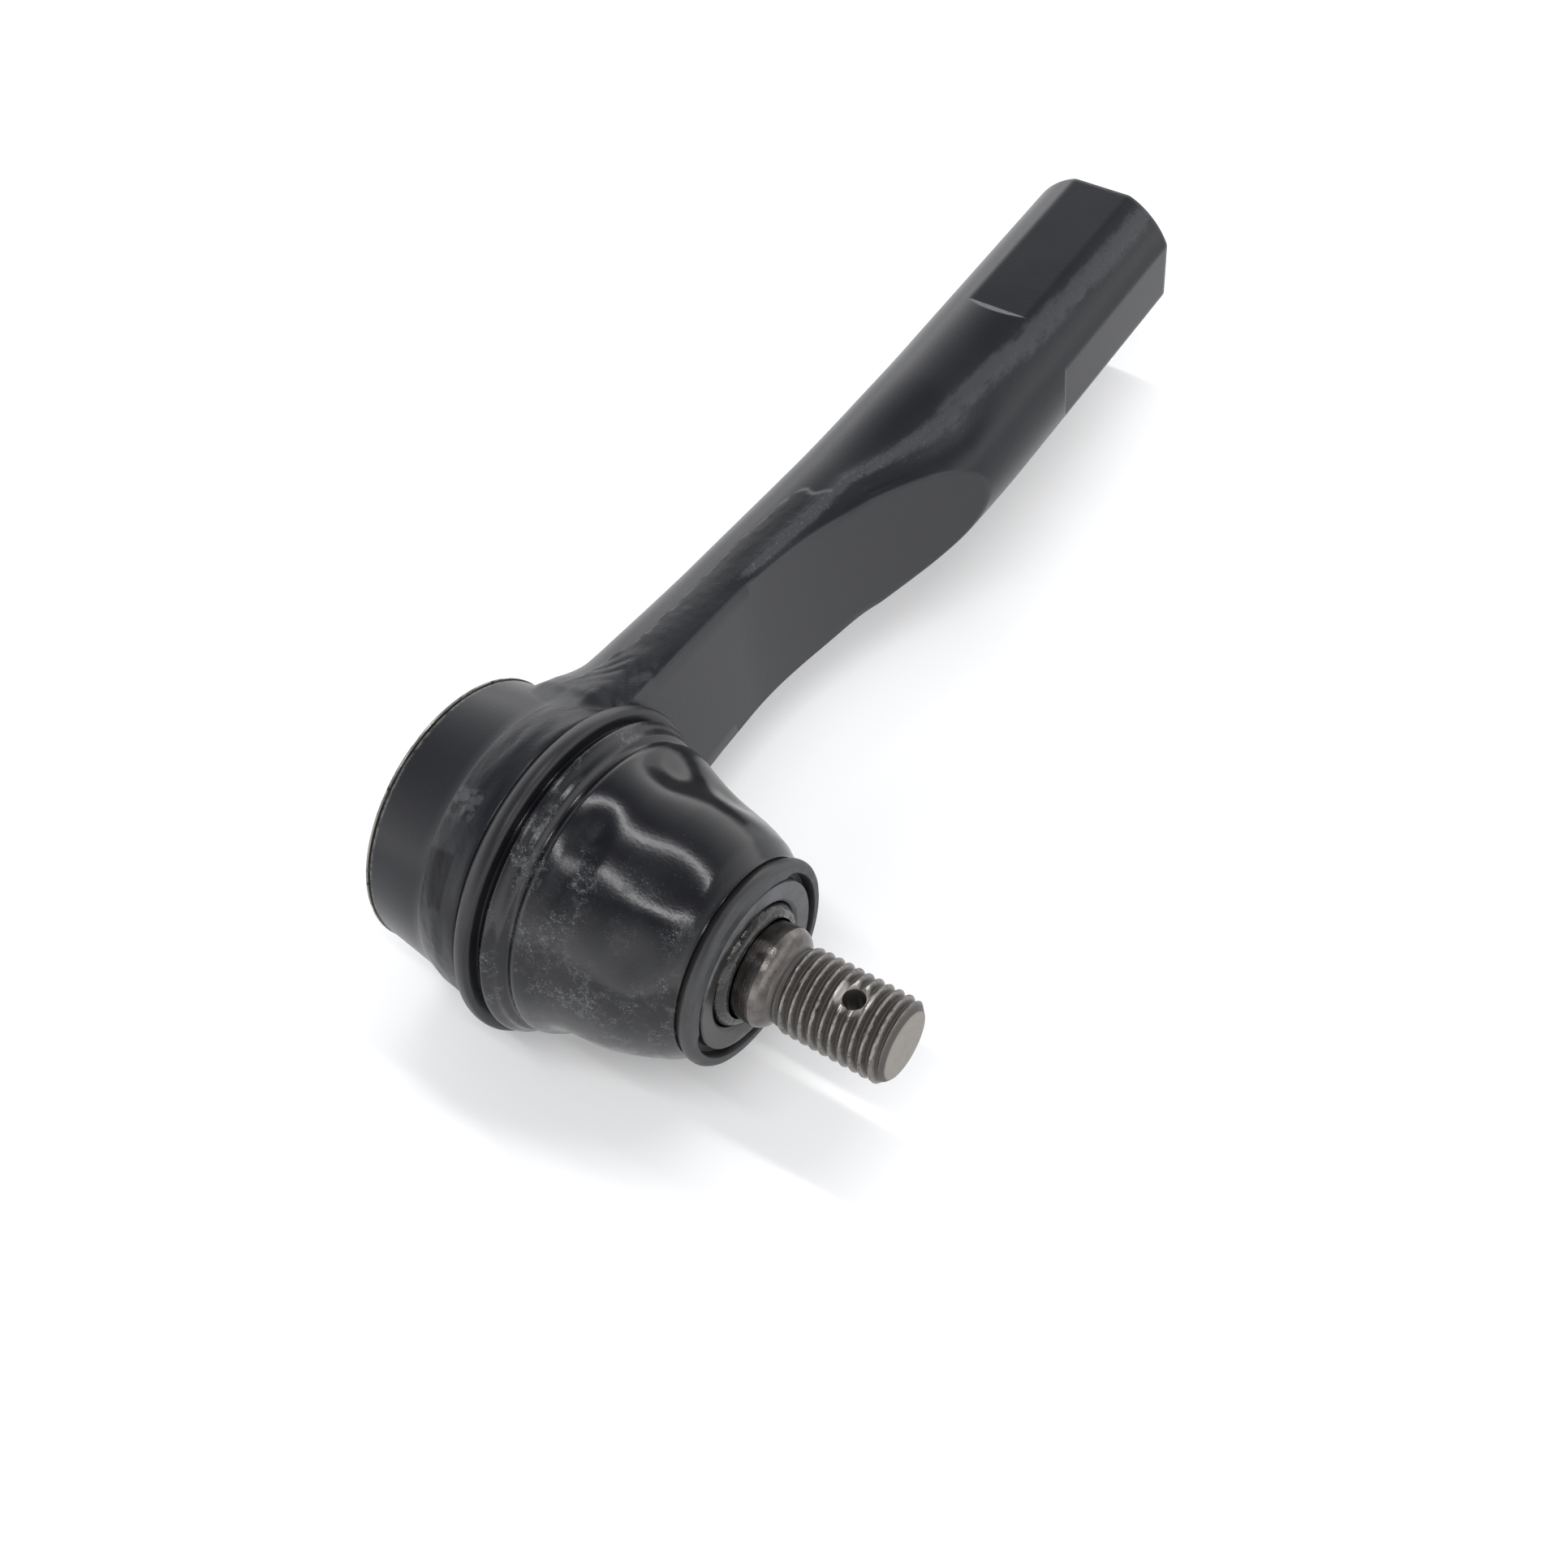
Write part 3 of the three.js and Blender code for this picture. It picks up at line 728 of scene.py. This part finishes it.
def boot_rubber():
    """Black rubber with a moulded gloss, finely pebbled. Pale dust and scuffs lie on the side
    that was set down, except where it was wiped, with a few specks elsewhere."""
    material, feed, place = new_finish("boot_rubber", Specular_IOR_Level=0.36)
    x, y, z = place.split()
    cloudy = place.noise(0.2, 3)
    pebble = place.noise(3.0, 3, 0.6)
    low_side = (y * -1).step(2.0, 9.0) * z.step(-12, -4) * x.step(5, 9)
    on_ring = x.step(4.55, 4.4)
    on_ridge = x.step(7.6, 7.2) * x.step(5.0, 5.5) * place.noise(0.25, 1).step(0.4, 0.5)
    dusty = (low_side * cloudy.step(0.36, 0.52)).larger(on_ridge * 0.8)
    ends = {0: place, 1: WIPED_PLACE}
    wiped = place.node("VectorMath", ends, {"operation": "DISTANCE"}, output=1).step(6.5, 3.5)
    dusty = dusty * (1 - wiped * 0.85)
    dots = place.grains(4.6).step(0.3, 0.1) * place.noise(1.9, 3, 0.6).step(0.46, 0.56)
    specks = place.grains(1.9).step(0.1, 0.05) * place.noise(0.9, 2).step(0.48, 0.6)
    smear = place.noise(1.3, 6, 0.78).step(0.46, 0.68)
    clump = place.noise(0.27, 3, 0.6).step(0.44, 0.6) * 0.9 + 0.1
    film = dusty * clump * (smear * 0.32 + dots * 1.5)
    film = film.larger(specks * (dusty * 0.7 + 0.2 + on_ridge * 0.6))
    rubber = cloudy.step(0.3, 0.7).tinted((0.005, 0.0052, 0.0066), (0.0078, 0.008, 0.0096))
    rubber = film.tinted(rubber, (0.23, 0.235, 0.25))
    gloss = 0.15 + cloudy * 0.08 + film * 0.35 + dusty * clump * 0.1 + on_ring * 0.2
    height = pebble.relief(0.012)
    height = film.relief(0.03, height)
    feed(Base_Color=rubber, Roughness=gloss, Normal=height)
    return material


rubber = boot_rubber()
ring = skinned("boot_ring", turned(rounded(RING_OUTLINE, 0.3), RING_COLUMNS), ring=True)
ring.data.materials.append(rubber)
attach(ring, "housing")
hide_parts("boot_base_ring")


# ------------------------------------------------------------------ the boot's skirt and crown
# From the ring the boot narrows to the neck in one soft wall, dented where air was squeezed out.
# It is made as two shells that meet in one line.
BOOT_SPLIT = 14.5
CROWN_END = 25.95
BOOT_WALL = 1.4
BOOT_COLUMNS = 320
BOOT_PROFILE = [               # station, outer radius
    (4.5, 18.35), (4.85, 18.2), (5.15, 18.6), (5.5, 19.1), (5.9, 19.15), (6.3, 18.85), (6.8, 18.4),
    (7.1, 18.3), (7.3, 18.32), (7.5, 18.05), (7.9, 17.35), (8.3, 17.6), (9.0, 17.85), (10, 17.65),
    (11.5, 17.1), (13.3, 16.55), (15.5, 16.05), (18, 15.5), (20, 14.9), (22, 14.15), (24, 13.3),
    (25.2, 12.5), (25.7, 12.1), (CROWN_END, 11.9),
]
DENTS = [      # station, angle in degrees, depth, half length, half width in degrees
    (11.4, 103, 0.72, 1.9, 14), (20.6, 101, 0.5, 3.6, 16), (11.6, 124, 0.3, 1.7, 9),
    (20.8, 136, 0.6, 2.4, 15), (12.0, 150, 0.3, 2.6, 12), (11.0, -62, 0.9, 2.6, 17),
    (19.5, -28, 0.8, 2.6, 19), (12.5, -150, 0.9, 2.6, 17), (20.0, -112, 0.7, 2.4, 18),
    (11.8, 54, 1.2, 3.8, 13), (16.4, 31, 1.2, 4.2, 17),
]
FOLDS = [      # station and angle at each end, depth, half width in mm
    (9.5, -100, 18.5, -86, 1.0, 2.6),
]


def boot_radius(x, angle):
    """Outer radius of the boot: its moulded profile with softened corners, less each dent, which
    is a bell in station and angle, and each fold, which is a sharp valley along a line."""
    spacing, softness = 0.05, 0.16
    fine = np.arange(3.5, 27, spacing)
    outline = np.interp(fine, *zip(*BOOT_PROFILE))
    kernel = np.exp(-0.5 * (np.arange(-12, 13) * spacing / softness) ** 2)
    outline = np.convolve(np.pad(outline, 12, "edge"), kernel / kernel.sum(), "valid")
    r = np.interp(x, fine, outline)
    soft = eased(x, 7.6, 10.5) * (1 - eased(x, 23, 25.4))
    r = r + 0.1 * soft * ripple(31, (1.6, 3.2), angle, x * 0.12)
    for station, degrees, depth, length, width in DENTS:
        across = (np.degrees(angle) - degrees + 180) % 360 - 180
        r = r - soft * depth * np.exp(-((x - station) / length) ** 2 - (across / width) ** 2)
    for x0, a0, x1, a1, depth, width in FOLDS:
        share = np.clip((x - x0) / (x1 - x0), -0.2, 1.2)
        middle = a0 + (a1 - a0) * share
        across = np.radians((np.degrees(angle) - middle + 180) % 360 - 180) * r
        along = eased(x, x0 - 1.6, x0 + 1.6) * (1 - eased(x, x1 - 2, x1 + 2))
        r = r - soft * depth * along * np.exp(-np.hypot(across, 0.35) / width * 1.7)
    return r


def boot_shell(low, high):
    """Closed wall of the boot between two stations: out along the outer face and back along the
    inner one, with rows close together where the outer face ends."""
    middle = np.linspace(low + 0.1, high - 0.1, int((high - low) / 0.16))
    out = np.concatenate([[low, low + 0.02], middle, [high - 0.02, high]])
    back = np.linspace(high, low, int((high - low) / 0.5))
    x = np.concatenate([out, back])[:, None]
    wall = np.concatenate([0 * out, 0 * back + BOOT_WALL])[:, None]
    angle = np.linspace(0, 2 * np.pi, BOOT_COLUMNS, endpoint=False)
    x, angle = np.broadcast_arrays(x, angle)
    r = boot_radius(x, angle) - wall
    return np.stack([x, r * np.cos(angle), r * np.sin(angle)], -1)


for name, low, high, bodies in (
    ("boot_skirt", 4.5, BOOT_SPLIT, ("housing", "boot")),
    ("boot_crown", BOOT_SPLIT, CROWN_END, ("boot", "boot_neck")),
):
    shell = skinned(name, boot_shell(low, high), ring=True, crease=50)
    shell.data.materials.append(rubber)
    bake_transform(shell)
    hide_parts("dust_boot")


# ------------------------------------------------------------------ the boot's neck
# The small end is a flange of dull rubber round a recess, in which a grey plastic washer sits. A
# thin lip inside the recess grips the stud's taper, and grease from the socket has blackened it.
FLANGE_OUTLINE = [
    (21.5, 6.9, 0.1), (21.5, 8.8, 0.2), (25.75, 8.8, 0.1), (25.75, 11.5, 0.1), (26.2, 11.75, 0.4),
    (26.9, 12.3, 0.5), (27.7, 12.3, 0.35), (28.2, 11.95, 0.3), (28.2, 10.7, 0.12),
    (27.6, 10.6, 0.1), (26.75, 10.6, 0.1), (26.75, 7.6, 0.2), (27.9, 7.3, 0.3), (28.5, 6.9, 0.35),
    (28.75, 6.5, 0.15), (28.7, 6.0, 0.1), (27.2, 6.2, 0.3), (26.6, 6.6, 0.3),
]
FLANGE_COLUMNS = 288


def flange_push(x, r, angle):
    """The recess's wall stands closer to the washer on one half, between two small steps. Low
    waves run over the whole flange, and larger lumps over the inner lip."""
    turn = np.degrees(angle)
    near = eased(turn, 42, 49) * (1 - eased(turn, 172, 180))
    wall = (x > 26.7) * eased(r, 8.6, 10.4) * (1 - eased(r, 10.9, 11.8))
    lumps = 0.06 * ripple(41, (4, 9), angle, x * 0.4) * (x > 27.6) * (r < 7.4)
    return wall * (0.35 - 0.55 * near) + 0.03 * ripple(42, (4, 9), angle, r * 0.1) + lumps


def neck_rubber():
    """Dull grey-black rubber, smudged on its face, and wet with dark grease on the inner lip."""
    material, feed, place = new_finish("neck_rubber")
    x, y, z = place.split()
    radius = (y * y + z * z).power(0.5)
    cloudy = place.noise(0.45, 4, 0.6)
    fine = place.noise(3.5, 3, 0.6)
    greasy = radius.step(10.3, 9.8)
    face = radius.step(10.4, 10.9) * x.step(27.2, 28.0)
    chalk = face * cloudy.step(0.3, 0.62)
    rubber = (0.011, 0.011, 0.0115)
    colour = (chalk * 0.8 + face * 0.2).tinted(rubber, (0.03, 0.031, 0.034))
    colour = greasy.tinted(colour, (0.006, 0.0058, 0.0055))
    gloss = 0.42 + chalk * 0.2 - greasy * (cloudy * 0.3 + 0.12)
    height = (fine * (1 - greasy)).relief(0.02)
    height = (cloudy * greasy).relief(0.3, height)
    feed(Base_Color=colour, Roughness=gloss, Normal=height)
    return material


flange_grid = turned(rounded(FLANGE_OUTLINE, 0.25), FLANGE_COLUMNS, flange_push)
flange = skinned("boot_flange", flange_grid, ring=True)
flange.data.materials.append(neck_rubber())
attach(flange, "boot_neck")
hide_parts("boot_neck_flange")

WASHER_OUTLINE = [(27.0, 7.7, 0.1), (27.0, 10.05, 0.1), (28.0, 10.05, 0.1), (28.14, 9.9, 0.08),
                  (28.0, 7.9, 0.12), (27.7, 7.5, 0.1)]
WASHER_COLUMNS = 224


def washer_grey():
    """Grey moulded plastic, rubbed pale in places, with grease creeping over its inner edge."""
    material, feed, place = new_finish("washer_grey")
    _, y, z = place.split()
    radius = (y * y + z * z).power(0.5)
    cloudy = place.noise(0.5, 4, 0.65)
    creep = (radius + cloudy * 1.2 + y * 0.16).step(9.5, 8.9)
    colour = cloudy.step(0.32, 0.66).tinted((0.055, 0.056, 0.061), (0.085, 0.087, 0.094))
    colour = creep.tinted(colour, (0.012, 0.011, 0.01))
    gloss = 0.5 - creep * 0.22 + cloudy * 0.1
    feed(Base_Color=colour, Roughness=gloss, Normal=place.noise(4.0, 3).relief(0.02))
    return material


washer_grid = turned(rounded(WASHER_OUTLINE, 0.2), WASHER_COLUMNS)
washer = skinned("boot_washer", washer_grid, ring=True)
washer.data.materials.append(washer_grey())
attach(washer, "boot_neck")
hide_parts("boot_neck_insert")


# ------------------------------------------------------------------ floor, light and camera
# The part lies on a plain white table, in a white room that darkens upwards. Two long narrow lamps
# overhead, one beyond the part and one nearer, draw the two wavy lines of light on the rubber.
TABLE_HALF = 6.0
ROOM_LOW, ROOM_HIGH = (2.95, 2.95, 2.94), (0.14, 0.15, 0.19)
ROOM_TOP = 0.85
ROOM_STRENGTH = 0.95
LAMP_DISTANCE = 0.9
LAMP_LENGTH, LAMP_WIDTH, LAMP_POWER = 0.8, 0.03, 3.0
LAMPS = {"lamp_beyond": (0.06, 0.30, 0.95), "lamp_near": (0.22, -0.25, 0.94)}

floor_mesh = bpy.data.meshes.new("table_top")
corners = np.array([(-1, -1, 0), (1, -1, 0), (1, 1, 0), (-1, 1, 0)]) * TABLE_HALF
floor_mesh.from_pydata(corners.tolist(), [], [(0, 1, 2, 3)])
floor = bpy.data.objects.new("table_top", floor_mesh)
bpy.context.scene.collection.objects.link(floor)
white = bpy.data.materials.new("table_white")
white.use_nodes = True
table_paint = white.node_tree.nodes["Principled BSDF"]
table_paint.inputs["Base Color"].default_value = (0.9, 0.9, 0.895, 1)
table_paint.inputs["Roughness"].default_value = 0.6
floor_mesh.materials.append(white)

world = bpy.data.worlds.new("white_room")
world.use_nodes = True
bpy.context.scene.world = world
room = Pattern(world.node_tree)
height = room.node("TexCoord", {}, output=0).split()[2]
level = height.node("MapRange", {"Value": height, "From Min": 0.0, "From Max": ROOM_TOP})
background = world.node_tree.nodes["Background"]
background.inputs["Strength"].default_value = ROOM_STRENGTH
world.node_tree.links.new(level.tinted(ROOM_LOW, ROOM_HIGH).socket, background.inputs["Color"])

for lamp_name, towards in LAMPS.items():
    towards = Vector(towards).normalized()
    lamp_data = bpy.data.lights.new(lamp_name, "AREA")
    lamp_data.shape = "RECTANGLE"
    lamp_data.size = LAMP_LENGTH
    lamp_data.size_y = LAMP_WIDTH
    lamp_data.energy = LAMP_POWER
    lamp = bpy.data.objects.new(lamp_name, lamp_data)
    bpy.context.scene.collection.objects.link(lamp)
    facing = Vector((0, 0, 1)).rotation_difference(towards).to_matrix().to_4x4()
    lamp.matrix_world = Matrix.Translation(Vector(BALL) + towards * LAMP_DISTANCE) @ facing

CAMERA_PLACE = (106.7, -78.1, 179.1)  # from the ball's centre
CAMERA_RIGHT = Vector((0.8224, 0.5599, -0.1004))
CAMERA_AHEAD = Vector((-0.401, 0.4455, -0.8004))
SENSOR_WIDTH, LENS = 36, 44.72
camera_data = bpy.data.cameras.new("view_camera")
camera_data.sensor_width = SENSOR_WIDTH
camera_data.lens = LENS
camera_data.clip_start = 0.01
camera = bpy.data.objects.new("view_camera", camera_data)
bpy.context.scene.collection.objects.link(camera)
back = -CAMERA_AHEAD.normalized()
right = (CAMERA_RIGHT - back * CAMERA_RIGHT.dot(back)).normalized()
turn = Matrix((right, back.cross(right), back)).transposed().to_4x4()
camera.matrix_world = Matrix.Translation(BALL + np.array(CAMERA_PLACE) * MM) @ turn
bpy.context.scene.camera = camera
bpy.context.scene.view_settings.view_transform = "Standard"
